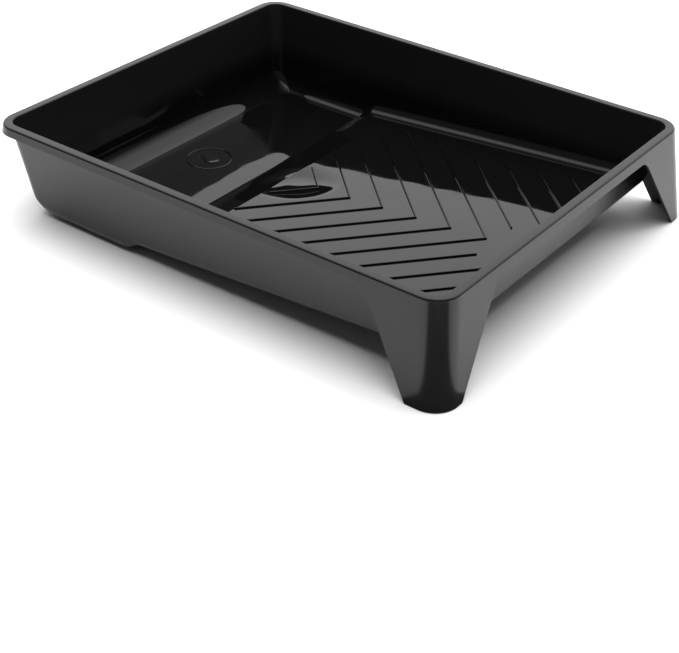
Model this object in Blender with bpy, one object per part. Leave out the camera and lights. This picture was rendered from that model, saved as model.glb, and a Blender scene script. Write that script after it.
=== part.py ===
"""Paint roller tray for a 230 mm roller, moulded in one piece.

A deep paint well at -X, a ribbed ramp that rises towards +X, a flat rim with a turned-down lip,
and two sheet legs that hang from the lip at the ramp's corners. Metres, +Z up. The tray stands on
the well's underside and on the two legs' feet, at z = 0, and is symmetric about the plane y = 0.

The body is one loft: every ring goes once around the tray, column by column, and the rings run from
the inside of the floor, up the walls, over the rim, down the lip and the legs, back up behind them,
and down the outside of the pan to the underside.
"""
from math import atan2, cos, hypot, pi, radians, sin, tan

import bmesh
import bpy
from mathutils import Vector

# ---- driving dimensions -------------------------------------------------------------------------
LENGTH = 0.360            # over the rim, along X
WIDTH = 0.293             # over the rim, along Y
HEIGHT = 0.0685           # rim's top above the feet
WALL = 0.0020             # thickness of the moulding
RIM = 0.0066              # width of the rim's flat top
RIM_CORNER = 0.0100       # radius of the rim's inner corner, seen from above
INNER_EDGE = 0.0010       # rounding of the rim's inner edge
OUTER_EDGE = 0.0015       # rounding of the rim's outer edge

SIDE_DRAFT = radians(8.2)     # the long walls
WELL_DRAFT = radians(10.5)    # the wall at the well's end
END_DRAFT = radians(14.0)     # the wall at the ramp's end
FLARE = radians(6.0)          # the lip and the legs widen downwards, so that trays stack

SIDE_FILLET = 0.0085      # between the floor and the walls around the ramp
WELL_FILLET = 0.0200      # between the well's end wall and its floor
SIDE_SHARE = 0.35         # how much of the way to that fillet a long wall comes at the well's end
SIDE_BLEND = 0.035        # the length over which it comes there
FLOOR_CORNER = 0.0040     # radius of the floor's corners at the ramp, seen from above
WELL_CORNER = 0.0120      # and at the well
FLOOR_INSET = 0.0145      # roughly how far the floor's edge lies inside the rim's inner edge

FLOOR_Z = WALL            # the well's floor
RAMP_SLOPE = 0.073        # rise of the ramp for each metre along X
RAMP_Z = 0.0131           # height that the ramp's plane has at x = 0
RISER_START = -0.0740     # the slope between the well's floor and the ramp, in the tray's middle
RISER_END = -0.0480
RISER_FOOT = 0.0150       # radius of its foot
SIDE_START = -0.0765      # the same slope at the long walls, where it is shorter and steeper
SIDE_END = -0.0665
SIDE_FOOT = 0.0060
RISER_HEAD = 0.0040       # radius of its head
TURN_FROM = 0.050         # the slope changes between these distances from the middle, along Y
TURN_TO = 0.115

LIP = 0.0060              # height of the lip on the long sides and at the well
END_LIP = 0.0075          # height of the lip at the ramp's end
LEG_SIDE_FOOT = 0.1617    # where the foot ends on the long side, along X
LEG_SIDE_LEAN = 0.58      # run of the leg's free edge for each metre of height, on the long side
LEG_END_FOOT = 0.1324     # where the foot ends on the end side, along Y
LEG_END_LEAN = 0.64       # run of the leg's free edge for each metre of height, on the end side
SHOULDER = 0.012          # radius between the lip and the leg's free edge

RIB_WIDTH = 0.0012
RIB_HEIGHT = 0.0011       # above the ramp, and the same again below its surface
RIB_PITCH = 0.0274        # from apex to apex
RIB_FIRST_APEX = -0.0195
RIB_FIRST_REACH = 0.024   # the first rib is short
RIB_COUNT = 10
RIB_WHOLE = 6             # this many have an apex, and the others leave the middle open
RIB_REACH = 0.112         # the arms end this far from the middle
RIB_LOW_X = -0.048        # no arm starts before this
RIB_HIGH_X = 0.138        # and none goes beyond this
RIB_GAP = 0.021           # half the open middle of the first open rib

COLOUR = (0.012, 0.012, 0.013, 1.0)      # black polypropylene
ROUGHNESS = 0.25

MARK_X = -0.120           # centre of the raised mark on the well's floor, a ring with a drop in it
MARK_RADIUS = 0.0170
MARK_LINE = 0.0014
MARK_HEIGHT = 0.0006      # above the floor, and the same again below its surface
MARK_STEPS = 32
DROP_RADIUS = 0.0055
DROP_STEPS = 16
DROP_TANGENT = radians(30)    # where lines from a tip two radii away touch the drop's circle

CORNER_STEPS = 5          # segments of each corner, seen from above
FILLET_STEPS = 4          # segments of the fillet between the walls and the floor
BEND_STEPS = 4            # segments of the other bends
TURN_STEPS = 4            # pieces that the floor is cut into where its slope changes, along Y
SHARP = radians(35)       # edges that turn more than this are shaded sharp
SIDE_STATIONS = (-0.135, 0.05)    # further columns on the long sides, which shorten their faces
SIDE_KEEP = 0.09          # side columns beyond this close up where a ring's corners need room
END_KEEP = 0.06           # the same for the columns at the ramp's end
ROOM = 0.002              # kept between a ring's corner and the column next to it
NARROWEST = 0.0008        # columns on the long sides are at least this far apart
SHIFT_X = -(HEIGHT - LIP) * tan(FLARE) / 2      # centres the box, which the feet widen at +X only

HALF_X = LENGTH / 2 - RIM     # the rim's inner edge
HALF_Y = WIDTH / 2 - RIM


# ---- outlines -----------------------------------------------------------------------------------
def rounded_path(corners, radii, steps):
    """A polyline whose inner corners are rounded: a list of (u, z) points."""
    points = [corners[0]]
    for before, corner, after, radius in zip(corners, corners[1:], corners[2:], radii):
        incoming = atan2(corner[1] - before[1], corner[0] - before[0])
        outgoing = atan2(after[1] - corner[1], after[0] - corner[0])
        turn = (outgoing - incoming + pi) % (2 * pi) - pi
        reach = radius * tan(abs(turn) / 2)
        side = 1 if turn > 0 else -1
        centre = (corner[0] - reach * cos(incoming) - side * radius * sin(incoming),
                  corner[1] - reach * sin(incoming) + side * radius * cos(incoming))
        for step in range(steps + 1):
            angle = incoming + turn * step / steps
            points.append((centre[0] + side * radius * sin(angle),
                           centre[1] - side * radius * cos(angle)))
    points.append(corners[-1])
    return points


def ramp_plane(x):
    return RAMP_Z + RAMP_SLOPE * x


def mix(first, second, share):
    return first + (second - first) * share


def floor_outline(share):
    """The floor's outline along X: share is 0 in the middle of the tray and 1 at the long walls."""
    start = mix(RISER_START, SIDE_START, share)
    end = mix(RISER_END, SIDE_END, share)
    corners = [(-LENGTH, FLOOR_Z), (start, FLOOR_Z), (end, ramp_plane(end)),
               (LENGTH, ramp_plane(LENGTH))]
    return rounded_path(corners, (mix(RISER_FOOT, SIDE_FOOT, share), RISER_HEAD), BEND_STEPS)


MIDDLE_OUTLINE = floor_outline(0.0)
SIDE_OUTLINE = floor_outline(1.0)


def height_on(path, u):
    """The height of a path at u, between its points."""
    for (u0, z0), (u1, z1) in zip(path, path[1:]):
        if u0 <= u <= u1:
            return z0 + (z1 - z0) * (u - u0) / (u1 - u0)
    return path[-1][1]


def floor_height(x, y):
    share = min(max((abs(y) - TURN_FROM) / (TURN_TO - TURN_FROM), 0.0), 1.0)
    return height_on(floor_outline(share * share * (3 - 2 * share)), x)


def leg_path(foot, lean, lip):
    """The bottom edge of the lip and the leg's free edge, towards the corner."""
    lip_z = HEIGHT - lip
    corners = [(foot - lean * lip_z - SHOULDER, lip_z), (foot - lean * lip_z, lip_z), (foot, 0.0)]
    return rounded_path(corners, (SHOULDER,), BEND_STEPS)


SIDE_LEG = leg_path(LEG_SIDE_FOOT, LEG_SIDE_LEAN, LIP)
END_LEG = leg_path(LEG_END_FOOT, LEG_END_LEAN, END_LIP)


# ---- columns ------------------------------------------------------------------------------------
def floor_stations():
    """Where the floor's outlines bend, along X, leaving out places too close to the last."""
    stations = []
    for x, z in sorted(MIDDLE_OUTLINE[1:-1] + SIDE_OUTLINE[1:-1]):
        if not stations or x - stations[-1] > NARROWEST:
            stations.append(x)
    return stations


def column_list():
    """The columns on the +Y half, from the well's end to the ramp's end.

    Each is (kind, value, bottom). A column of the well's or the ramp's corner holds its direction
    seen from above, a side column its x, and an end column its y. Bottom is the height of the
    lip's or the leg's edge there.
    """
    quarter = pi / 2 / CORNER_STEPS
    columns = [("well_corner", pi - quarter * step, HEIGHT - LIP)
               for step in range(CORNER_STEPS + 1)]
    columns += [("side", x, HEIGHT - LIP)
                for x in (SIDE_STATIONS[0], *floor_stations(), SIDE_STATIONS[1])]
    columns += [("side", x, z) for x, z in SIDE_LEG]
    columns += [("ramp_corner", pi / 2 - quarter * step, 0.0) for step in range(CORNER_STEPS + 1)]
    columns += [("end", y, z) for y, z in reversed(END_LEG)]
    return columns


COLUMNS = column_list()


def close_up(value, limit, keep, furthest):
    """Moves a column back towards the middle where it would run into a ring's corner."""
    if value <= keep:
        return value
    return keep + (value - keep) * min(1.0, (limit - keep) / (furthest + ROOM - keep))


def place(column, outward, radius, z, side):
    """A point of a ring: outward is measured from the rim's inner edge, level, and side is +-1."""
    kind, value, _ = column
    centre_x = HALF_X + outward - radius
    centre_y = HALF_Y + outward - radius
    if kind in ("well_corner", "ramp_corner"):
        x = (centre_x if kind == "ramp_corner" else -centre_x) + radius * cos(value)
        y = centre_y + radius * sin(value)
    elif kind == "side":
        x = max(close_up(value, centre_x, SIDE_KEEP, LEG_SIDE_FOOT), -centre_x + ROOM)
        y = HALF_Y + outward
    else:
        x = HALF_X + outward
        y = close_up(value, centre_y, END_KEEP, LEG_END_FOOT)
    return (x + SHIFT_X, y * side, z)


def draft_and_fillet(column):
    """The wall's draft and its fillet, which change around the corners."""
    kind, value, _ = column
    if kind == "side":
        share = SIDE_SHARE * min(max(1 - (value + HALF_X) / SIDE_BLEND, 0.0), 1.0)
        return SIDE_DRAFT, mix(SIDE_FILLET, WELL_FILLET, share)
    if kind == "end":
        return END_DRAFT, SIDE_FILLET
    share = cos(value) ** 2
    if kind == "ramp_corner":
        return mix(SIDE_DRAFT, END_DRAFT, share), SIDE_FILLET
    return (mix(SIDE_DRAFT, WELL_DRAFT, share),
            mix(SIDE_FILLET, WELL_FILLET, mix(SIDE_SHARE, 1.0, abs(cos(value)))))


def floor_corner(column):
    """The radius, seen from above, that the floor has at the column's end of the tray."""
    kind, value, _ = column
    at_well = kind == "well_corner" or (kind == "side" and value < 0)
    return WELL_CORNER if at_well else FLOOR_CORNER


def wall_point(column, share, grow, side):
    """A point of the fillet at the wall's foot: share 0 is on the wall and 1 is on the floor.

    grow is 0 for the inside of the pan and WALL for its outside.
    """
    draft, fillet = draft_and_fillet(column)
    fillet += grow
    start = grow / cos(draft)
    turn = (pi / 2 - draft) * share
    corner = floor_corner(column)
    corner_radius = mix(RIM_CORNER, corner, share) + grow
    tangent = fillet * (1 - sin(draft)) / cos(draft)
    floor_x = place(column, -FLOOR_INSET, corner, 0, 1)[0] - SHIFT_X
    for _ in range(3):
        floor_z = height_on(SIDE_OUTLINE, floor_x) - grow
        foot = start - (HEIGHT - floor_z) * tan(draft)
        floor_x = place(column, foot - tangent, corner + grow, 0, 1)[0] - SHIFT_X
    on_wall = foot + tangent * sin(draft)
    wall_z = floor_z + tangent * cos(draft)
    outward = on_wall - fillet * (sin(turn) * sin(draft) + (1 - cos(turn)) * cos(draft))
    z = wall_z + fillet * ((1 - cos(turn)) * sin(draft) - sin(turn) * cos(draft))
    return place(column, outward, corner_radius, z, side)


def lip_point(column, inset, z, side):
    """A point of the lip's or the leg's face, flared outwards as it goes down."""
    outward = RIM - inset + (HEIGHT - z) * tan(FLARE)
    return place(column, outward, RIM_CORNER + RIM - inset, z, side)


def rim_point(column, outward, z, side):
    return place(column, outward, RIM_CORNER + outward, z, side)


def ring_rules():
    """One function for each ring, from the floor's inside to the underside."""
    rules = []
    for step in range(FILLET_STEPS, -1, -1):
        rules.append(lambda c, s, share=step / FILLET_STEPS: wall_point(c, share, 0.0, s))
    half_turn = 1 - sin(pi / 4)
    rules.append(lambda c, s: rim_point(c, -INNER_EDGE * tan(SIDE_DRAFT), HEIGHT - INNER_EDGE, s))
    rules.append(lambda c, s: rim_point(c, INNER_EDGE * half_turn, HEIGHT - INNER_EDGE * half_turn, s))
    rules.append(lambda c, s: rim_point(c, INNER_EDGE, HEIGHT, s))
    rules.append(lambda c, s: rim_point(c, RIM - OUTER_EDGE, HEIGHT, s))
    rules.append(lambda c, s: rim_point(c, RIM - OUTER_EDGE * half_turn,
                                        HEIGHT - OUTER_EDGE * half_turn, s))
    rules.append(lambda c, s: lip_point(c, 0.0, HEIGHT - OUTER_EDGE, s))
    rules.append(lambda c, s: lip_point(c, 0.0, c[2], s))
    rules.append(lambda c, s: lip_point(c, WALL, c[2], s))
    rules.append(lambda c, s: lip_point(c, WALL, HEIGHT - WALL, s))
    rules.append(lambda c, s: rim_point(c, WALL, HEIGHT - WALL, s))
    for step in range(FILLET_STEPS + 1):
        rules.append(lambda c, s, share=step / FILLET_STEPS: wall_point(c, share, WALL, s))
    return rules


# ---- building -----------------------------------------------------------------------------------
def add_ring(bm, rule):
    """One closed ring of vertices, out on the +Y half and back on the -Y half."""
    points = [rule(column, 1) for column in COLUMNS]
    points += [rule(column, -1) for column in reversed(COLUMNS)]
    return [bm.verts.new(point) for point in points]


def join_rings(bm, lower, upper):
    """The band of faces between two rings that follow each other."""
    for i, vert in enumerate(lower):
        bm.faces.new((lower[i - 1], vert, upper[i], upper[i - 1]))


def close_floor(bm, ring):
    """Spans the floor with one face, then splits it from side to side at each column."""
    bm.faces.new(ring)
    last = len(ring) - 1
    across = [i for i, column in enumerate(COLUMNS) if column[0] != "end"]
    for i in across[1:-1]:
        bmesh.ops.connect_vert_pair(bm, verts=[ring[i], ring[last - i]])


def shape_floor(bm, ring, drop):
    """Cuts the floor's strips along the tray and moves the cuts to the floor's height, less drop."""
    edge_verts = set(ring)
    piece = [face for face in bm.faces if edge_verts.issuperset(face.verts)]
    cuts = [mix(TURN_FROM, TURN_TO, step / TURN_STEPS) for step in range(TURN_STEPS + 1)]
    for y in [side * cut for cut in cuts for side in (-1, 1)]:
        geom = {item for face in piece for item in (face, *face.edges, *face.verts)}
        cut = bmesh.ops.bisect_plane(bm, geom=list(geom), plane_co=(0, y, 0), plane_no=(0, 1, 0))
        piece = [item for item in cut["geom"] if isinstance(item, bmesh.types.BMFace)]
        for item in cut["geom_cut"]:
            if isinstance(item, bmesh.types.BMVert):
                item.co.z = floor_height(item.co.x - SHIFT_X, item.co.y) - drop


def new_object(name, bm, collection):
    bmesh.ops.recalc_face_normals(bm, faces=bm.faces)
    mesh = bpy.data.meshes.new(name)
    bm.to_mesh(mesh)
    bm.free()
    obj = bpy.data.objects.new(name, mesh)
    collection.objects.link(obj)
    return obj


def add_tray(collection):
    bm = bmesh.new()
    rings = [add_ring(bm, rule) for rule in ring_rules()]
    for lower, upper in zip(rings, rings[1:]):
        join_rings(bm, lower, upper)
    for ring, drop in ((rings[0], 0.0), (rings[-1], WALL)):
        close_floor(bm, ring)
        shape_floor(bm, ring, drop)
    return new_object("tray", bm, collection)


def add_bar(bm, start, end):
    """A straight bar of a rib, whose top and bottom follow the ramp."""
    length = hypot(end[0] - start[0], end[1] - start[1])
    half_x = (start[1] - end[1]) / length * RIB_WIDTH / 2
    half_y = (end[0] - start[0]) / length * RIB_WIDTH / 2
    for vert in bmesh.ops.create_cube(bm, size=2.0)["verts"]:
        along = end if vert.co.x > 0 else start
        side = 1 if vert.co.y > 0 else -1
        level = 1 if vert.co.z > 0 else -1
        x = along[0] + side * half_x
        vert.co = (x + SHIFT_X, along[1] + side * half_y, ramp_plane(x) + level * RIB_HEIGHT)


def add_ribs(bm):
    """The raised ribs: V shapes that point up the ramp, cut off at its edges."""
    for number in range(RIB_COUNT):
        apex = RIB_FIRST_APEX + RIB_PITCH * number
        inner = max(apex - RIB_HIGH_X, 0.0)
        if number >= RIB_WHOLE:
            inner = max(inner, RIB_GAP)
        outer = min(RIB_REACH, apex - RIB_LOW_X)
        if number == 0:
            outer = RIB_FIRST_REACH
        for side in (-1, 1):
            # One arm of a whole V runs just past the middle, so that the two overlap there.
            near = -RIB_WIDTH / 4 if inner == 0.0 and side > 0 else inner
            add_bar(bm, (apex - near, side * near), (apex - outer, side * outer))


def add_mark(bm):
    """The raised ring on the well's floor, and the drop in the middle of it, tip towards -X."""
    low = FLOOR_Z - MARK_HEIGHT
    high = FLOOR_Z + MARK_HEIGHT
    middle = MARK_X + SHIFT_X
    near = middle + MARK_RADIUS - MARK_LINE
    far = middle + MARK_RADIUS
    section = [bm.verts.new(point) for point in
               ((near, 0, low), (far, 0, low), (far, 0, high), (near, 0, high))]
    edges = [bm.edges.new((section[i - 1], section[i])) for i in range(4)]
    bmesh.ops.spin(bm, geom=section + edges, cent=(middle, 0, 0), axis=(0, 0, 1),
                   angle=2 * pi, steps=MARK_STEPS, use_merge=True)

    drop = bmesh.ops.create_circle(bm, cap_ends=True, radius=DROP_RADIUS, segments=DROP_STEPS)
    for vert in drop["verts"]:
        if vert.co.x < -DROP_RADIUS * sin(DROP_TANGENT):
            vert.co.x = -2 * DROP_RADIUS + abs(vert.co.y) / tan(DROP_TANGENT)
        vert.co += Vector((middle + DROP_RADIUS / 2, 0, low))
    face = drop["verts"][0].link_faces[0]
    raised = bmesh.ops.extrude_face_region(bm, geom=[face])["geom"]
    top = [item for item in raised if isinstance(item, bmesh.types.BMVert)]
    bmesh.ops.translate(bm, verts=top, vec=(0, 0, high - low))


def add_union(obj, other):
    other.hide_render = True
    other.display_type = "WIRE"
    joined = obj.modifiers.new(other.name, "BOOLEAN")
    joined.operation = "UNION"
    joined.solver = "EXACT"
    joined.object = other
    joined.use_self = True


def add_material(obj):
    material = bpy.data.materials.new("black_polypropylene")
    material.use_nodes = True
    shader = material.node_tree.nodes["Principled BSDF"]
    shader.inputs["Base Color"].default_value = COLOUR
    shader.inputs["Roughness"].default_value = ROUGHNESS
    shader.inputs["Metallic"].default_value = 0.0
    obj.data.materials.append(material)


def new_collection(name):
    collection = bpy.data.collections.new(name)
    bpy.context.scene.collection.children.link(collection)
    return collection


for old in list(bpy.data.objects):
    bpy.data.objects.remove(old, do_unlink=True)
parts = new_collection("paint_roller_tray")
helpers = new_collection("joined_shapes")
tray = add_tray(parts)
raised = bmesh.new()
add_ribs(raised)
add_mark(raised)
add_union(tray, new_object("raised_lines", raised, helpers))
add_material(tray)
tray.data.shade_smooth()
tray.data.set_sharp_from_angle(angle=SHARP)
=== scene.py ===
# %% [markdown]
# # A paint roller tray
#
# This lesson models a plastic paint roller tray: one moulding with a deep well for the paint, a ribbed
# ramp for rolling the roller out, a flat rim with a lip that turns down, and two sheet legs that the lip
# grows into at the ramp's end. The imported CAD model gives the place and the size. The lesson builds the
# same moulding again, finely enough to carry glossy reflections, and gives it its finish, its light and
# its camera.

# %% Load the frame
from math import atan2, cos, pi, radians, sin, tan

import bmesh
import bpy
from mathutils import Matrix, Vector


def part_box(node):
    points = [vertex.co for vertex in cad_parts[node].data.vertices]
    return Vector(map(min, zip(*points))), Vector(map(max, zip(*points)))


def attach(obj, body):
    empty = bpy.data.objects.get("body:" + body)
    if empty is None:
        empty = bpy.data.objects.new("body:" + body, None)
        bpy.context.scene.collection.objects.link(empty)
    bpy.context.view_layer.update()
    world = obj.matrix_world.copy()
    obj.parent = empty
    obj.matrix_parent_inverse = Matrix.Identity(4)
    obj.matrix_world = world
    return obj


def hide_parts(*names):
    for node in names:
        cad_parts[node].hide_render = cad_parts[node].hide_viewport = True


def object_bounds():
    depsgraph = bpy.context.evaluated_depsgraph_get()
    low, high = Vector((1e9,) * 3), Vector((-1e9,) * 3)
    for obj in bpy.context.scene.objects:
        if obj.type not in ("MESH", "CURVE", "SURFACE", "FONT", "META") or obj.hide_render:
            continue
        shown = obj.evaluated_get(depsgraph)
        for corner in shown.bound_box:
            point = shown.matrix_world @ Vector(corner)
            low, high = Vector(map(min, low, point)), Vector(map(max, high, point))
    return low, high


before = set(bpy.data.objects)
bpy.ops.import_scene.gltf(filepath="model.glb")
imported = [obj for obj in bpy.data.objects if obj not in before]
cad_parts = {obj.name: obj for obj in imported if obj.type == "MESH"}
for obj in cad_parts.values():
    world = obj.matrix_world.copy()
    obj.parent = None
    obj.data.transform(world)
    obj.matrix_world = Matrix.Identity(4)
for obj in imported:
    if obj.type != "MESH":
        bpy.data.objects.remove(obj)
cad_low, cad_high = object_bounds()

node_low, node_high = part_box("tray")
print("the CAD tray measures", [round(side * 1000, 1) for side in node_high - node_low], "mm")

# %% [markdown]
# ## Sizes
#
# The tray is laid out from its rim, because every other part hangs from it. All sizes are in metres.
# The wall is 2 mm thick everywhere, as a moulding needs an even wall to cool evenly. Every wall leans
# outwards towards the top, and the lip and legs lean outwards towards the bottom: both let the part
# leave its mould, and let one tray nest in another.

# %% The driving sizes
LENGTH = 0.360                    # over the rim, along X
WIDTH = 0.293                     # over the rim, along Y
HEIGHT = node_high.z              # the rim's top, above the feet
WALL = 0.0020
RIM = 0.0066                      # width of the rim's flat top
RIM_CORNER = 0.0100               # radius of the rim's inner corner, seen from above
INNER_EDGE = 0.0010               # rounding of the rim's inner edge
OUTER_EDGE = 0.0015               # rounding of the rim's outer edge
SIDE_DRAFT, WELL_DRAFT, END_DRAFT = radians(8.2), radians(10.5), radians(14.0)
FLARE = radians(6.0)              # how far the lip and the legs lean out
SIDE_FILLET, WELL_FILLET = 0.0085, 0.0200
SIDE_SHARE, SIDE_BLEND = 0.35, 0.035        # the long walls' fillet grows towards the well's end
FLOOR_CORNER = 0.0040             # radius of the floor's corners at the ramp, seen from above
WELL_CORNER = 0.0120              # and at the well
FLOOR_INSET = 0.0145              # roughly how far the floor's edge lies inside the rim's inner edge

HALF_X = LENGTH / 2 - RIM         # the rim's inner edge
HALF_Y = WIDTH / 2 - RIM

# %% [markdown]
# ## The floor's outline, from the side
#
# Seen from the side, the floor runs level under the paint, climbs a short slope and then rises gently
# along the ramp. Real moulded plastic has no sharp bends, so each corner of this outline is replaced by
# an arc. The same helper draws the free edge of a leg, which leaves the lip in an arc too.

# %% Outlines with rounded corners
FLOOR_Z = WALL
RAMP_SLOPE, RAMP_Z = 0.073, 0.0131        # the ramp's plane: its slope, and its height at x = 0
RISER_START, RISER_END = -0.0740, -0.0480   # the slope up from the well, in the tray's middle
SIDE_START, SIDE_END = -0.0765, -0.0665     # the same slope at the long walls
RISER_FOOT, SIDE_FOOT, RISER_HEAD = 0.0150, 0.0060, 0.0040    # radii of its foot and head
TURN_FROM, TURN_TO = 0.050, 0.115           # it changes between these distances from the middle
LIP, END_LIP = 0.0060, 0.0075             # height of the lip on the sides, and at the ramp's end
LEG_SIDE_FOOT, LEG_SIDE_LEAN = 0.1617, 0.58
LEG_END_FOOT, LEG_END_LEAN = 0.1324, 0.64
SHOULDER = 0.012                          # radius between the lip and a leg's free edge
SHIFT_X = node_low.x + LENGTH / 2 + LIP * tan(FLARE)      # the rim's middle, in the CAD's frame
BEND_STEPS = 8


def rounded_path(corners, radii):
    """A polyline of (u, z) points whose inner corners are arcs."""
    points = [corners[0]]
    for before, corner, after, radius in zip(corners, corners[1:], corners[2:], radii):
        incoming = atan2(corner[1] - before[1], corner[0] - before[0])
        outgoing = atan2(after[1] - corner[1], after[0] - corner[0])
        turn = (outgoing - incoming + pi) % (2 * pi) - pi
        reach = radius * tan(abs(turn) / 2)
        side = 1 if turn > 0 else -1
        centre = (corner[0] - reach * cos(incoming) - side * radius * sin(incoming),
                  corner[1] - reach * sin(incoming) + side * radius * cos(incoming))
        for step in range(BEND_STEPS + 1):
            angle = incoming + turn * step / BEND_STEPS
            points.append((centre[0] + side * radius * sin(angle),
                           centre[1] - side * radius * cos(angle)))
    points.append(corners[-1])
    return points


def ramp_plane(x):
    return RAMP_Z + RAMP_SLOPE * x


def mix(first, second, share):
    return first + (second - first) * share


def floor_outline(share):
    """Share is 0 in the middle of the tray and 1 at the long walls."""
    start, end = mix(RISER_START, SIDE_START, share), mix(RISER_END, SIDE_END, share)
    return rounded_path([(-LENGTH, FLOOR_Z), (start, FLOOR_Z), (end, ramp_plane(end)),
                         (LENGTH, ramp_plane(LENGTH))],
                        (mix(RISER_FOOT, SIDE_FOOT, share), RISER_HEAD))


def leg_path(foot, lean, lip):
    """The bottom edge of the lip and the leg's free edge, on towards the corner."""
    lip_z = HEIGHT - lip
    corners = [(foot - lean * lip_z - SHOULDER, lip_z), (foot - lean * lip_z, lip_z), (foot, 0.0)]
    return rounded_path(corners, (SHOULDER,))


MIDDLE_OUTLINE, SIDE_OUTLINE = floor_outline(0.0), floor_outline(1.0)
SIDE_LEG = leg_path(LEG_SIDE_FOOT, LEG_SIDE_LEAN, LIP)
END_LEG = leg_path(LEG_END_FOOT, LEG_END_LEAN, END_LIP)
print("the floor's outline has", len(SIDE_OUTLINE), "points and each leg's edge", len(SIDE_LEG))


def height_on(path, u):
    for (u0, z0), (u1, z1) in zip(path, path[1:]):
        if u0 <= u <= u1:
            return z0 + (z1 - z0) * (u - u0) / (u1 - u0)
    return path[-1][1]


def floor_height(x, y):
    share = min(max((abs(y) - TURN_FROM) / (TURN_TO - TURN_FROM), 0.0), 1.0)
    return height_on(floor_outline(share * share * (3 - 2 * share)), x)


# %% [markdown]
# ## Columns and rings
#
# The whole moulding is one closed skin, and it can be read like a woven basket. Columns run up and over
# the wall at fixed places around the tray: close together in the corners and along every bend, and far
# apart on straight stretches. Rings run around the tray, one for each height. Where the two cross is a
# vertex. It takes few numbers to describe, nearly every face is a quad, and reflections flow over it
# evenly.

# %% The columns of one half of the tray
CORNER_STEPS = 12
STRAIGHT_STEPS = 5
SIDE_KEEP, END_KEEP = 0.09, 0.06      # columns beyond this close up where a ring's corners need room
ROOM = 0.002                          # kept between a corner and the column next to it
NARROWEST = 0.0004                    # side columns are at least this far apart


def floor_stations():
    """Where the floor's outlines bend, along X, leaving out places too close to the last."""
    stations = []
    for x, z in sorted(MIDDLE_OUTLINE[1:-1] + SIDE_OUTLINE[1:-1]):
        if not stations or x - stations[-1] > NARROWEST:
            stations.append(x)
    return stations


def column_list():
    """Each column is (kind, value, bottom). A corner's value is its direction seen from above, a side
    column's is its x and an end column's its y. Bottom is the height of the lip's or the leg's edge."""
    quarter = pi / 2 / CORNER_STEPS
    floor_x = floor_stations()
    well_x = [-HALF_X + (floor_x[0] + HALF_X) * step / STRAIGHT_STEPS
              for step in range(1, STRAIGHT_STEPS)]
    ramp_x = [floor_x[-1] + (SIDE_LEG[0][0] - floor_x[-1]) * step / STRAIGHT_STEPS
              for step in range(1, STRAIGHT_STEPS)]
    columns = [("well_corner", pi - quarter * step, HEIGHT - LIP)
               for step in range(CORNER_STEPS + 1)]
    columns += [("side", x, HEIGHT - LIP) for x in (*well_x, *floor_x, *ramp_x)]
    columns += [("side", x, z) for x, z in SIDE_LEG]
    columns += [("ramp_corner", pi / 2 - quarter * step, 0.0) for step in range(CORNER_STEPS + 1)]
    columns += [("end", y, z) for y, z in reversed(END_LEG)]
    return columns


HALF_COLUMNS = column_list()
COLUMNS = [(column, 1) for column in HALF_COLUMNS]
COLUMNS += [(column, -1) for column in reversed(HALF_COLUMNS)]
print(len(COLUMNS), "columns go around the tray")


def close_up(value, limit, keep, furthest):
    """Moves a column back towards the middle where it would run into a corner."""
    if value <= keep:
        return value
    return keep + (value - keep) * min(1.0, (limit - keep) / (furthest + ROOM - keep))


def place(column, side, outward, radius, z):
    """A point of a ring. Outward is measured from the rim's inner edge, level."""
    kind, value, _ = column
    centre_x, centre_y = HALF_X + outward - radius, HALF_Y + outward - radius
    if kind == "side":
        x = max(close_up(value, centre_x, SIDE_KEEP, LEG_SIDE_FOOT), -centre_x + ROOM)
        y = HALF_Y + outward
    elif kind == "end":
        x = HALF_X + outward
        y = close_up(value, centre_y, END_KEEP, LEG_END_FOOT)
    else:
        x = (centre_x if kind == "ramp_corner" else -centre_x) + radius * cos(value)
        y = centre_y + radius * sin(value)
    return Vector((x + SHIFT_X, y * side, z))


# %% [markdown]
# ## Where the rings go
#
# The inside wall meets the floor in a fillet that the paint runs around: 8.5 mm at the ramp and 20 mm at
# the back of the well. A fillet is an arc tangent to both, so its size follows from the wall's lean at
# that column. The outside of the pan is the same curve, grown by the wall's thickness.

# %% The shape of the walls, the rim and the lip
FILLET_STEPS = 10
EDGE_STEPS = 5
ROUNDS = 4                    # the floor's height at a fillet and its place are settled in turns


def draft_and_fillet(column):
    """The wall's lean and its fillet, which change around the corners."""
    kind, value, _ = column
    if kind == "side":
        share = SIDE_SHARE * min(max(1 - (value + HALF_X) / SIDE_BLEND, 0.0), 1.0)
        return SIDE_DRAFT, mix(SIDE_FILLET, WELL_FILLET, share)
    if kind == "well_corner":
        return (mix(SIDE_DRAFT, WELL_DRAFT, cos(value) ** 2),
                mix(SIDE_FILLET, WELL_FILLET, mix(SIDE_SHARE, 1.0, abs(cos(value)))))
    share = 1.0 if kind == "end" else cos(value) ** 2
    return mix(SIDE_DRAFT, END_DRAFT, share), SIDE_FILLET


def floor_corner(column):
    """The radius, seen from above, that the floor has at the column's end of the tray."""
    kind, value, _ = column
    at_well = kind == "well_corner" or (kind == "side" and value < 0)
    return WELL_CORNER if at_well else FLOOR_CORNER


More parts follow.
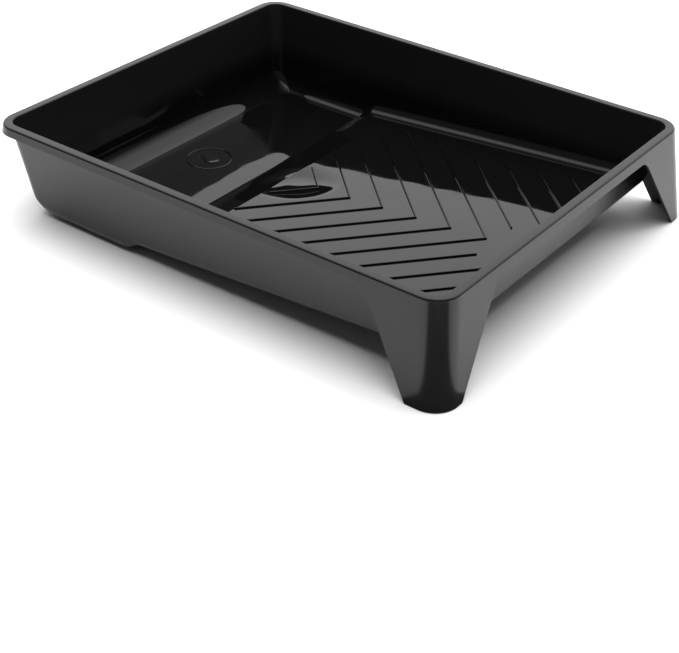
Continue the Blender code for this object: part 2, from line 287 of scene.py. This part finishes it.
def wall_point(column, side, share, grow):
    """Share 0 is the fillet's end on the wall, and 1 its end on the floor."""
    draft, fillet = draft_and_fillet(column)
    fillet += grow
    turn = (pi / 2 - draft) * share
    tangent = fillet * (1 - sin(draft)) / cos(draft)
    corner = floor_corner(column)
    floor_x = place(column, 1, -FLOOR_INSET, corner, 0).x - SHIFT_X
    for _ in range(ROUNDS):
        floor_z = height_on(SIDE_OUTLINE, floor_x) - grow
        foot = grow / cos(draft) - (HEIGHT - floor_z) * tan(draft)
        floor_x = place(column, 1, foot - tangent, corner + grow, 0).x - SHIFT_X
    outward = foot + tangent * sin(draft)
    outward -= fillet * (sin(turn) * sin(draft) + (1 - cos(turn)) * cos(draft))
    z = floor_z + tangent * cos(draft)
    z += fillet * ((1 - cos(turn)) * sin(draft) - sin(turn) * cos(draft))
    return place(column, side, outward, mix(RIM_CORNER, corner, share) + grow, z)


def rim_point(column, side, outward, z):
    return place(column, side, outward, RIM_CORNER + outward, z)


def lip_point(column, side, inset, z):
    outward = RIM - inset + (HEIGHT - z) * tan(FLARE)
    return place(column, side, outward, RIM_CORNER + RIM - inset, z)


def ring_rules():
    """One rule for each ring, in order, and how many of the first rings are the polished inside."""
    rules = []
    for step in range(FILLET_STEPS, -1, -1):
        rules.append(lambda c, s, share=step / FILLET_STEPS: wall_point(c, s, share, 0.0))
    for step in range(EDGE_STEPS + 1):
        turn = pi / 2 * step / EDGE_STEPS
        rules.append(lambda c, s, t=turn: rim_point(
            c, s, INNER_EDGE * (1 - cos(t)), HEIGHT - INNER_EDGE * (1 - sin(t))))
    polished = len(rules) - EDGE_STEPS // 2
    for step in range(EDGE_STEPS + 1):
        turn = pi / 2 * step / EDGE_STEPS
        rules.append(lambda c, s, t=turn: rim_point(
            c, s, RIM - OUTER_EDGE * (1 - sin(t)), HEIGHT - OUTER_EDGE * (1 - cos(t))))
    rules.append(lambda c, s: lip_point(c, s, 0.0, c[2]))
    rules.append(lambda c, s: lip_point(c, s, WALL, c[2]))
    rules.append(lambda c, s: lip_point(c, s, WALL, HEIGHT - WALL))
    rules.append(lambda c, s: rim_point(c, s, WALL, HEIGHT - WALL))
    for step in range(FILLET_STEPS + 1):
        rules.append(lambda c, s, share=step / FILLET_STEPS: wall_point(c, s, share, WALL))
    return rules, polished


# %% [markdown]
# ## Colours and nodes
#
# Colours are written as the hex values that a designer would pick, and one function turns them into the
# linear light that a shader works in. Two more add nodes with their settings and their links.

# %% Helpers for materials
def linear(hex_colour):
    channels = [int(hex_colour[i:i + 2], 16) / 255 for i in (1, 3, 5)]
    return tuple(c / 12.92 if c <= 0.04045 else ((c + 0.055) / 1.055) ** 2.4
                 for c in channels) + (1.0,)


def add_node(tree, kind, inputs=(), **settings):
    """A node, its settings, and its inputs: a number or colour, or another node's output socket."""
    node = tree.nodes.new(kind)
    for name, value in settings.items():
        setattr(node, name, value)
    for name, value in dict(inputs).items():
        if isinstance(value, bpy.types.NodeSocket):
            tree.links.new(value, node.inputs[name])
        else:
            node.inputs[name].default_value = value
    return node


def multiply_add(tree, first, factor, added):
    """The socket that holds first * factor + added, where first and added are sockets too."""
    node = add_node(tree, "ShaderNodeMath", operation="MULTIPLY_ADD")
    tree.links.new(first, node.inputs[0])
    node.inputs[1].default_value = factor
    tree.links.new(added, node.inputs[2])
    return node.outputs["Value"]


POLYPROPYLENE_IOR = 1.49


def new_material(name, colour, roughness, ior):
    material = bpy.data.materials.new(name)
    material.use_nodes = True
    tree = material.node_tree
    shader = tree.nodes["Principled BSDF"]
    shader.inputs["Base Color"].default_value = linear(colour)
    shader.inputs["Roughness"].default_value = roughness
    shader.inputs["IOR"].default_value = ior
    shader.inputs["Metallic"].default_value = 0.0
    return material, tree, shader


# %% [markdown]
# ## Black polypropylene, polished by its mould
#
# The tray is injection-moulded polypropylene, coloured black right through. The half of the mould that
# forms the inside is polished steel, so that dried paint peels off it, and the plastic copies that
# polish. Polypropylene shrinks as it cools, though, and never stays quite flat: its reflections wander
# over shallow waves a few centimetres long. Those waves are what tells plastic from glass here. Where
# the hot plastic enters the mould, under the low end of the ramp, the skin also sinks a little as the
# last of it cools, and leaves a shallow, uneven dimple. The steep walls drag along the mould as the
# tray leaves it, so their polish is duller than the floor's.
# Their black is also painted lighter towards the top: a painted sheen, not a colour of the plastic.

# %% The polished inside
WAVE_LENGTH, WAVE_HEIGHT = 0.045, 0.00030
SMEAR_LENGTH = 0.018              # patches of better and worse polish
SMEAR_LOW, SMEAR_HIGH = 0.35, 0.70            # the noise values between which the polish changes
BEST_POLISH, WORST_POLISH = 0.02, 0.06        # roughness
PLAIN_POLISH = 0.04                           # roughness without the smears
DULL_AND_SHEEN_FROM, DULL_AND_SHEEN_TO, DULL_BY = 0.026, 0.040, 0.26      # heights on the walls where the roughness and the painted sheen rise, and added roughness
GATE = (-0.040, 0.003, 0.011)     # where the plastic enters: from the rim's middle, and from the feet up
SINK_RADIUS, SINK_DEPTH = 0.046, 0.0026
SINK_UNEVEN = 0.030               # how far the dimple's edge wanders
FLOOR_BLACK, WALL_PAINTED_SHEEN = "#070708", "#121213"        # the walls' lighter black is a painted sheen, not a colour of the plastic


def polished_polypropylene():
    material, tree, shader = new_material("polished_black_polypropylene", FLOOR_BLACK,
                                          PLAIN_POLISH, POLYPROPYLENE_IOR)
    where = add_node(tree, "ShaderNodeTexCoord").outputs["Object"]
    waves = add_node(tree, "ShaderNodeTexNoise",
                     {"Vector": where, "Scale": 1 / WAVE_LENGTH, "Detail": 1.0, "Roughness": 0.4})
    smears = add_node(tree, "ShaderNodeTexNoise",
                      {"Vector": where, "Scale": 1 / SMEAR_LENGTH, "Detail": 4.0, "Roughness": 0.6})
    gloss = add_node(tree, "ShaderNodeMapRange",
                     {"Value": smears.outputs["Fac"], "From Min": SMEAR_LOW,
                      "From Max": SMEAR_HIGH, "To Min": BEST_POLISH, "To Max": WORST_POLISH})
    height_above = add_node(tree, "ShaderNodeSeparateXYZ", {"Vector": where}).outputs["Z"]
    dulling_and_painted_sheen = add_node(tree, "ShaderNodeMapRange",
                    {"Value": height_above, "From Min": DULL_AND_SHEEN_FROM, "From Max": DULL_AND_SHEEN_TO})
    # Painted sheen: the walls' black is painted lighter towards the top.
    colour = add_node(tree, "ShaderNodeMixRGB",
                      {"Fac": dulling_and_painted_sheen.outputs["Result"], "Color1": linear(FLOOR_BLACK),
                       "Color2": linear(WALL_PAINTED_SHEEN)})
    tree.links.new(colour.outputs["Color"], shader.inputs["Base Color"])
    duller = multiply_add(tree, dulling_and_painted_sheen.outputs["Result"], DULL_BY, gloss.outputs["Result"])
    tree.links.new(duller, shader.inputs["Roughness"])
    away = add_node(tree, "ShaderNodeVectorMath", operation="DISTANCE")
    tree.links.new(where, away.inputs[0])
    away.inputs[1].default_value = (GATE[0] + SHIFT_X, GATE[1], GATE[2])
    uneven = multiply_add(tree, waves.outputs["Fac"], SINK_UNEVEN, away.outputs["Value"])
    sink = add_node(tree, "ShaderNodeMapRange",
                    {"Value": uneven, "From Min": SINK_UNEVEN / 2, "From Max": SINK_RADIUS,
                     "To Min": -SINK_DEPTH, "To Max": 0.0}, interpolation_type="SMOOTHSTEP")
    height = multiply_add(tree, waves.outputs["Fac"], WAVE_HEIGHT, sink.outputs["Result"])
    bump = add_node(tree, "ShaderNodeBump", {"Height": height, "Strength": 1.0, "Distance": 1.0})
    tree.links.new(bump.outputs["Normal"], shader.inputs["Normal"])
    return material


# %% [markdown]
# ## The same plastic, textured by its mould
#
# The outside half of the mould is spark-eroded steel. It leaves a fine satin grain of about 0.1 mm,
# which hides scratches and gives hands a grip. That grain is finer than the render can show, so it is
# drawn about 0.8 mm wide and shallow, and the roughness carries the rest.

# %% The satin outside
GRAIN, GRAIN_HEIGHT = 0.0008, 0.00005
CLOUD_LENGTH = 0.060                          # wide patches where the texture has worn a little
CLOUD_LOW, CLOUD_HIGH = 0.30, 0.70            # the noise values between which it changes
SMOOTHEST, ROUGHEST = 0.20, 0.27              # roughness
PLAIN_SATIN = 0.24                            # roughness without the patches


def satin_polypropylene():
    material, tree, shader = new_material("satin_black_polypropylene", "#0d0d0e",
                                          PLAIN_SATIN, POLYPROPYLENE_IOR)
    where = add_node(tree, "ShaderNodeTexCoord").outputs["Object"]
    grain = add_node(tree, "ShaderNodeTexNoise",
                     {"Vector": where, "Scale": 1 / GRAIN, "Detail": 2.0, "Roughness": 0.5})
    clouds = add_node(tree, "ShaderNodeTexNoise",
                      {"Vector": where, "Scale": 1 / CLOUD_LENGTH, "Detail": 3.0, "Roughness": 0.5})
    gloss = add_node(tree, "ShaderNodeMapRange",
                     {"Value": clouds.outputs["Fac"], "From Min": CLOUD_LOW,
                      "From Max": CLOUD_HIGH, "To Min": SMOOTHEST, "To Max": ROUGHEST})
    tree.links.new(gloss.outputs["Result"], shader.inputs["Roughness"])
    bump = add_node(tree, "ShaderNodeBump",
                    {"Height": grain.outputs["Fac"], "Strength": 0.25, "Distance": GRAIN_HEIGHT})
    tree.links.new(bump.outputs["Normal"], shader.inputs["Normal"])
    return material


POLISHED = polished_polypropylene()
SATIN = satin_polypropylene()
print("two finishes of one plastic:", POLISHED.name, "and", SATIN.name)

# %% [markdown]
# ## Skinning the moulding
#
# The skin starts as a filled circle with one vertex for each column, pulled into the outline of the
# floor. Its edge is then extruded ring after ring: up the wall, over the rim, down the lip and the legs,
# up behind them, down the outside of the pan, until one last face closes the underside. Extruding keeps
# the skin in one piece, which a real moulding is.

# %% Extrude the tray ring by ring
SHARP = radians(35)
EDGE_BREAK = 0.0004           # moulded edges are never razor-sharp
OUTSIDE = 1                   # the material slot of the satin finish; the polished one is slot 0
STRIPS = 13                   # strips along the floor on each side, where the slope changes


def move_ring(ring, rule):
    for vert, (column, side) in zip(ring, COLUMNS):
        vert.co = rule(column, side)


def ring_edges(bm, ring):
    return [bm.edges.get((ring[i - 1], vert)) for i, vert in enumerate(ring)]


def extrude_ring(bm, ring, rule):
    made = set(bmesh.ops.extrude_edge_only(bm, edges=ring_edges(bm, ring))["geom"])
    following = []
    for vert in ring:
        following += [edge.other_vert(vert) for edge in vert.link_edges
                      if edge.other_vert(vert) in made]
    move_ring(following, rule)
    return following


def split_floor(bm, ring):
    """Splits the face that spans the tray into strips from side to side, one for each column."""
    last = len(ring) - 1
    across = [i for i, column in enumerate(HALF_COLUMNS) if column[0] != "end"]
    for i in across[1:-1]:
        bmesh.ops.connect_vert_pair(bm, verts=[ring[i], ring[last - i]])


def shape_floor(bm, ring, drop):
    """Cuts the strips along the tray and moves the cuts to the floor's height, less drop."""
    edge_verts = set(ring)
    faces = [face for face in bm.faces if edge_verts.issuperset(face.verts)]
    for number in range(STRIPS + 1):
        for side in (-1, 1):
            y = side * mix(TURN_FROM, TURN_TO, number / STRIPS)
            geom = {item for face in faces for item in (face, *face.edges, *face.verts)}
            cut = bmesh.ops.bisect_plane(bm, geom=list(geom), plane_co=(0, y, 0),
                                         plane_no=(0, 1, 0))
            faces = [item for item in cut["geom"] if isinstance(item, bmesh.types.BMFace)]
            for item in cut["geom_cut"]:
                if isinstance(item, bmesh.types.BMVert):
                    item.co.z = floor_height(item.co.x - SHIFT_X, item.co.y) - drop


def new_piece(name, bm, *materials):
    mesh = bpy.data.meshes.new(name)
    bm.to_mesh(mesh)
    bm.free()
    for material in materials:
        mesh.materials.append(material)
    piece = bpy.data.objects.new(name, mesh)
    bpy.context.scene.collection.objects.link(piece)
    mesh.shade_smooth()
    mesh.set_sharp_from_angle(angle=SHARP)
    return piece


def build_tray():
    bm = bmesh.new()
    rules, polished = ring_rules()
    ring = bmesh.ops.create_circle(bm, cap_ends=True, radius=HALF_Y, segments=len(COLUMNS))["verts"]
    floor_ring = ring
    move_ring(ring, rules[0])
    split_floor(bm, ring)
    for number, rule in enumerate(rules[1:], 1):
        before = set(bm.faces)
        ring = extrude_ring(bm, ring, rule)
        if number >= polished:
            for face in set(bm.faces) - before:
                face.material_index = OUTSIDE
    underside = bm.faces.new(ring)
    underside.material_index = OUTSIDE
    split_floor(bm, ring)
    shape_floor(bm, floor_ring, 0.0)
    shape_floor(bm, ring, WALL)
    bmesh.ops.recalc_face_normals(bm, faces=bm.faces)
    closed = all(len(edge.link_faces) == 2 for edge in bm.edges)
    print("tray skin:", len(bm.faces), "faces, closed:", closed,
          "- volume", round(bm.calc_volume() * 1e6, 1), "cubic cm")
    return new_piece("tray_moulding", bm, POLISHED, SATIN)


def soften(piece):
    """Breaks the sharp edges, and keeps flat faces flat in the shading."""
    bevel = piece.modifiers.new("edge_break", "BEVEL")
    bevel.width = EDGE_BREAK
    bevel.segments = 2
    bevel.limit_method = "ANGLE"
    bevel.angle_limit = SHARP
    bevel.harden_normals = False
    normals = piece.modifiers.new("flat_faces_rule", "WEIGHTED_NORMAL")
    normals.keep_sharp = True


tray = build_tray()
soften(tray)
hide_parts("tray")
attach(tray, "root")

# %% [markdown]
# ## The ribs
#
# The ramp's ribs squeeze the extra paint out of the roller, and their V shape leads it back down to the
# well. Each is a low bar, 1.2 mm wide, with a rounded top. A bar is made once, with its top edges
# bevelled, and every arm is that bar stretched between two points. Only one half is made: it is cut
# on the tray's middle plane and mirrored, so that the two arms of each V meet in a clean mitre.

# %% Make the ribs
RIB_WIDTH, RIB_HEIGHT = 0.0012, 0.0011
RIB_ROUNDING = 0.42               # how far its top edges are rounded, as a share of its width
RIB_PITCH, RIB_FIRST_APEX, RIB_FIRST_REACH = 0.0274, -0.0195, 0.024
RIB_COUNT, RIB_WHOLE = 10, 6      # the ribs beyond the sixth leave the middle open
RIB_REACH, RIB_GAP = 0.112, 0.021
RIB_LOW_X, RIB_HIGH_X = -0.048, 0.138
PAST_MIDDLE = 0.002


def stock_bar():
    """A short bar with rounded top edges, half of it above the surface that it stands on."""
    bm = bmesh.new()
    bar = bmesh.ops.create_cube(bm, size=1.0)["verts"]
    bmesh.ops.scale(bm, vec=(2 * RIB_WIDTH, RIB_WIDTH, 2 * RIB_HEIGHT), verts=bar)
    top = [edge for edge in bm.edges if all(vert.co.z > 0 for vert in edge.verts)]
    bmesh.ops.bevel(bm, geom=top, offset=RIB_WIDTH * RIB_ROUNDING, offset_type="OFFSET", segments=4,
                    profile=0.5, affect="EDGES", material=-1)
    mesh = bpy.data.meshes.new("stock_bar")
    bm.to_mesh(mesh)
    bm.free()
    return mesh


def add_arm(bm, bar, start, end):
    before = len(bm.verts)
    bm.from_mesh(bar)
    bm.verts.ensure_lookup_table()
    run = Vector(end) - Vector(start)
    stretch = run.length / 2 - RIB_WIDTH
    turn = Matrix.Rotation(atan2(run.y, run.x), 3, "Z")
    middle = (Vector(start) + Vector(end)) / 2
    for vert in bm.verts[before:]:
        level = vert.co.z
        vert.co.x += stretch if vert.co.x > 0 else -stretch
        spot = turn @ Vector((vert.co.x, vert.co.y, 0)) + middle.to_3d()
        vert.co = (spot.x + SHIFT_X, spot.y, ramp_plane(spot.x) + level)


def build_ribs():
    bm = bmesh.new()
    bar = stock_bar()
    for number in range(RIB_COUNT):
        apex = RIB_FIRST_APEX + RIB_PITCH * number
        inner = max(apex - RIB_HIGH_X, 0.0)
        if number >= RIB_WHOLE:
            inner = max(inner, RIB_GAP)
        outer = min(RIB_REACH, apex - RIB_LOW_X) if number else RIB_FIRST_REACH
        near = inner if inner else -PAST_MIDDLE
        add_arm(bm, bar, (apex - near, near), (apex - outer, outer))
    bpy.data.meshes.remove(bar)
    everything = bm.verts[:] + bm.edges[:] + bm.faces[:]
    bmesh.ops.bisect_plane(bm, geom=everything, plane_co=(0, 0, 0), plane_no=(0, 1, 0),
                           clear_inner=True)
    everything = bm.verts[:] + bm.edges[:] + bm.faces[:]
    bmesh.ops.mirror(bm, geom=everything, matrix=Matrix.Identity(4), merge_dist=1e-6, axis="Y")
    bmesh.ops.recalc_face_normals(bm, faces=bm.faces)
    closed = all(len(edge.link_faces) == 2 for edge in bm.edges)
    print("ribs:", len(bm.faces), "faces, closed:", closed)
    return new_piece("ramp_ribs", bm, POLISHED)


ribs = build_ribs()
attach(ribs, "root")

# %% [markdown]
# ## The mark in the well
#
# A maker usually moulds a raised sign into the well's floor. Here it is a plain ring around a drop of
# paint. The ring is a small circle spun around the mark's middle. The drop is a circle whose one side
# is drawn out along two tangents to a tip, then extruded and given a rounded edge.

# %% Make the ring and the drop
MARK_X, MARK_RADIUS, MARK_LINE, MARK_HEIGHT = -0.120, 0.0170, 0.0014, 0.0006
DROP_RADIUS = 0.0055
DROP_ROUNDING = 0.7               # how far its top edge is rounded, as a share of its height
TANGENT = radians(30)             # where lines from a tip two radii out touch the circle


def build_mark():
    bm = bmesh.new()
    section = bmesh.ops.create_circle(bm, radius=1.0, segments=12)["verts"]
    bmesh.ops.scale(bm, vec=(MARK_LINE / 2, MARK_HEIGHT, 1), verts=section)
    bmesh.ops.rotate(bm, cent=(0, 0, 0), matrix=Matrix.Rotation(pi / 2, 3, "X"), verts=section)
    bmesh.ops.translate(bm, vec=(MARK_RADIUS - MARK_LINE / 2, 0, 0), verts=section)
    bmesh.ops.spin(bm, geom=bm.verts[:] + bm.edges[:], cent=(0, 0, 0), axis=(0, 0, 1),
                   angle=2 * pi, steps=72, use_merge=True)

    drop = bmesh.ops.create_circle(bm, cap_ends=True, radius=DROP_RADIUS, segments=48)["verts"]
    face = drop[0].link_faces[0]
    for vert in drop:
        if vert.co.x < -DROP_RADIUS * sin(TANGENT):
            vert.co.x = -2 * DROP_RADIUS + abs(vert.co.y) / tan(TANGENT)
        vert.co += Vector((DROP_RADIUS / 2, 0, -MARK_HEIGHT))
    raised = bmesh.ops.extrude_face_region(bm, geom=[face])["geom"]
    top = [item for item in raised if isinstance(item, bmesh.types.BMVert)]
    bmesh.ops.translate(bm, vec=(0, 0, 2 * MARK_HEIGHT), verts=top)
    rim = [edge for edge in bm.edges if all(vert in top for vert in edge.verts)]
    bmesh.ops.bevel(bm, geom=rim, offset=MARK_HEIGHT * DROP_ROUNDING,
                    offset_type="OFFSET", segments=3, profile=0.5, affect="EDGES", material=-1)
    bmesh.ops.recalc_face_normals(bm, faces=bm.faces)
    bmesh.ops.translate(bm, vec=(MARK_X + SHIFT_X, 0, FLOOR_Z), verts=bm.verts)
    print("mark:", len(bm.faces), "faces")
    return new_piece("well_mark", bm, POLISHED)


mark = build_mark()
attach(mark, "root")

# %% [markdown]
# ## The stand, the light and the camera
#
# A black glossy part is lit by what it reflects. The set is a matt pale floor under one very large
# round light, above and behind the tray, whose brightness fades out towards its edge. The ramp and the
# rim mirror it, and the walls mirror the dim studio around it.

# %% The floor
FLOOR_REACH, FLOOR_GAP = 3.0, 0.0002      # the floor lies just clear of the feet
floor_paint = new_material("matt_floor_paint", "#dadada", 0.9, 1.45)[0]
floor_mesh = bmesh.new()
bmesh.ops.create_grid(floor_mesh, x_segments=1, y_segments=1, size=FLOOR_REACH)
floor = new_piece("studio_floor", floor_mesh, floor_paint)
floor.location = (0, 0, cad_low.z - FLOOR_GAP)
print("the floor reaches", FLOOR_REACH, "m each way")

# %% [markdown]
# A glossy edge looks round when it has something dark to mirror. A dark grey card lies on the floor in
# front of the near leg, and widens away from it, so that the leg's rounded corner mirrors it over its
# whole height. It is only seen in reflections, and it casts no shadow.

# %% The dark card
CARD_LENGTH, CARD_NEAR, CARD_FAR = 0.35, 0.035, 0.52     # its length, and its width at both ends
CARD_WAY = radians(-44)                   # the way that it points from the leg's corner
CARD_START = 0.02                         # how far inside the tray's box it starts, along X and Y
CARD_LIFT = 0.0005                        # above the level of the feet
card_felt = new_material("grey_card_felt", "#585858", 1.0, 1.1)[0]
card_mesh = bmesh.new()
bmesh.ops.create_grid(card_mesh, x_segments=1, y_segments=1, size=0.5)
for vert in card_mesh.verts:
    far = vert.co.x > 0
    vert.co = (CARD_LENGTH if far else 0.0, vert.co.y * (CARD_FAR if far else CARD_NEAR), 0.0)
card = new_piece("dark_card", card_mesh, card_felt)
card.location = (cad_high.x - CARD_START, cad_low.y + CARD_START, cad_low.z + CARD_LIFT)
card.rotation_euler = (0, 0, CARD_WAY)
card.visible_camera = False
card.visible_diffuse = False
card.visible_shadow = False
print("the card widens from", CARD_NEAR, "to", CARD_FAR, "m")

# %% [markdown]
# The round light is the surround itself, whose brightness depends on the angle from the light's middle.
# Seen by the camera past the floor, the surround is plain white. One more wide light hangs overhead and
# fills the shadows on the floor, and it is kept out of the reflections.

# %% The light
LIGHT_AXIS = (-0.30, 0.65, 0.70)          # the direction of the round light's middle
LIGHT_EDGE, LIGHT_FULL = 0.42, 0.72       # cosines from that axis where the light starts and is full
LIGHT_STRENGTH, SURROUND_STRENGTH = 1.4, 0.12
FILL_POWER, FILL_SIZE = 85.0, 2.4
FILL_PLACE = (0.0, 0.1, 1.8)
scene = bpy.context.scene
scene.view_settings.view_transform = "Standard"
world = bpy.data.worlds.new("studio_surround")
scene.world = world
world.use_nodes = True
sky = world.node_tree
sky_way = add_node(sky, "ShaderNodeTexCoord").outputs["Object"]
off_axis = add_node(sky, "ShaderNodeVectorMath", operation="DOT_PRODUCT")
sky.links.new(sky_way, off_axis.inputs[0])
off_axis.inputs[1].default_value = Vector(LIGHT_AXIS).normalized()
fade = add_node(sky, "ShaderNodeMapRange",
                {"Value": off_axis.outputs["Value"], "From Min": LIGHT_EDGE, "From Max": LIGHT_FULL,
                 "To Min": SURROUND_STRENGTH, "To Max": LIGHT_STRENGTH})
seen = add_node(sky, "ShaderNodeLightPath").outputs["Is Camera Ray"]
shown = add_node(sky, "ShaderNodeMath", operation="MAXIMUM")
sky.links.new(fade.outputs["Result"], shown.inputs[0])
sky.links.new(seen, shown.inputs[1])
sky.nodes["Background"].inputs["Color"].default_value = linear("#ffffff")
sky.links.new(shown.outputs["Value"], sky.nodes["Background"].inputs["Strength"])

fill_data = bpy.data.lights.new("overhead_fill", "AREA")
fill_data.size = FILL_SIZE
fill_data.energy = FILL_POWER
fill = bpy.data.objects.new("overhead_fill", fill_data)
fill.location = FILL_PLACE
fill.rotation_euler = (-Vector(FILL_PLACE)).to_track_quat("-Z", "Y").to_euler()
fill.visible_camera = False
fill.visible_glossy = False
scene.collection.objects.link(fill)
print("lit by the surround and by a fill light of", FILL_POWER, "W")

# %% The camera
AZIMUTH, ELEVATION, ROLL = radians(35.757), radians(27.550), radians(1.618)
DISTANCE = 1.0056
AIM = Vector((0.0288 + SHIFT_X, -0.0185, 0.0539))
LENS, SENSOR = 81.2, 36.0                 # mm
CAMERA_SHIFT = (-0.0295, -0.2387)         # of the picture's width
forward = Vector((-sin(AZIMUTH) * cos(ELEVATION), cos(AZIMUTH) * cos(ELEVATION), -sin(ELEVATION)))
level = Vector((cos(AZIMUTH), sin(AZIMUTH), 0))
upright = level.cross(forward)
right = cos(ROLL) * level + sin(ROLL) * upright
up = -sin(ROLL) * level + cos(ROLL) * upright
camera_data = bpy.data.cameras.new("camera")
camera_data.sensor_width = SENSOR
camera_data.lens = LENS
camera_data.shift_x, camera_data.shift_y = CAMERA_SHIFT
camera = bpy.data.objects.new("camera", camera_data)
camera.matrix_world = Matrix.Translation(AIM - DISTANCE * forward) @ Matrix(
    (right, up, -forward)).transposed().to_4x4()
scene.collection.objects.link(camera)
scene.camera = camera
print("the camera stands", DISTANCE, "m from its aim")
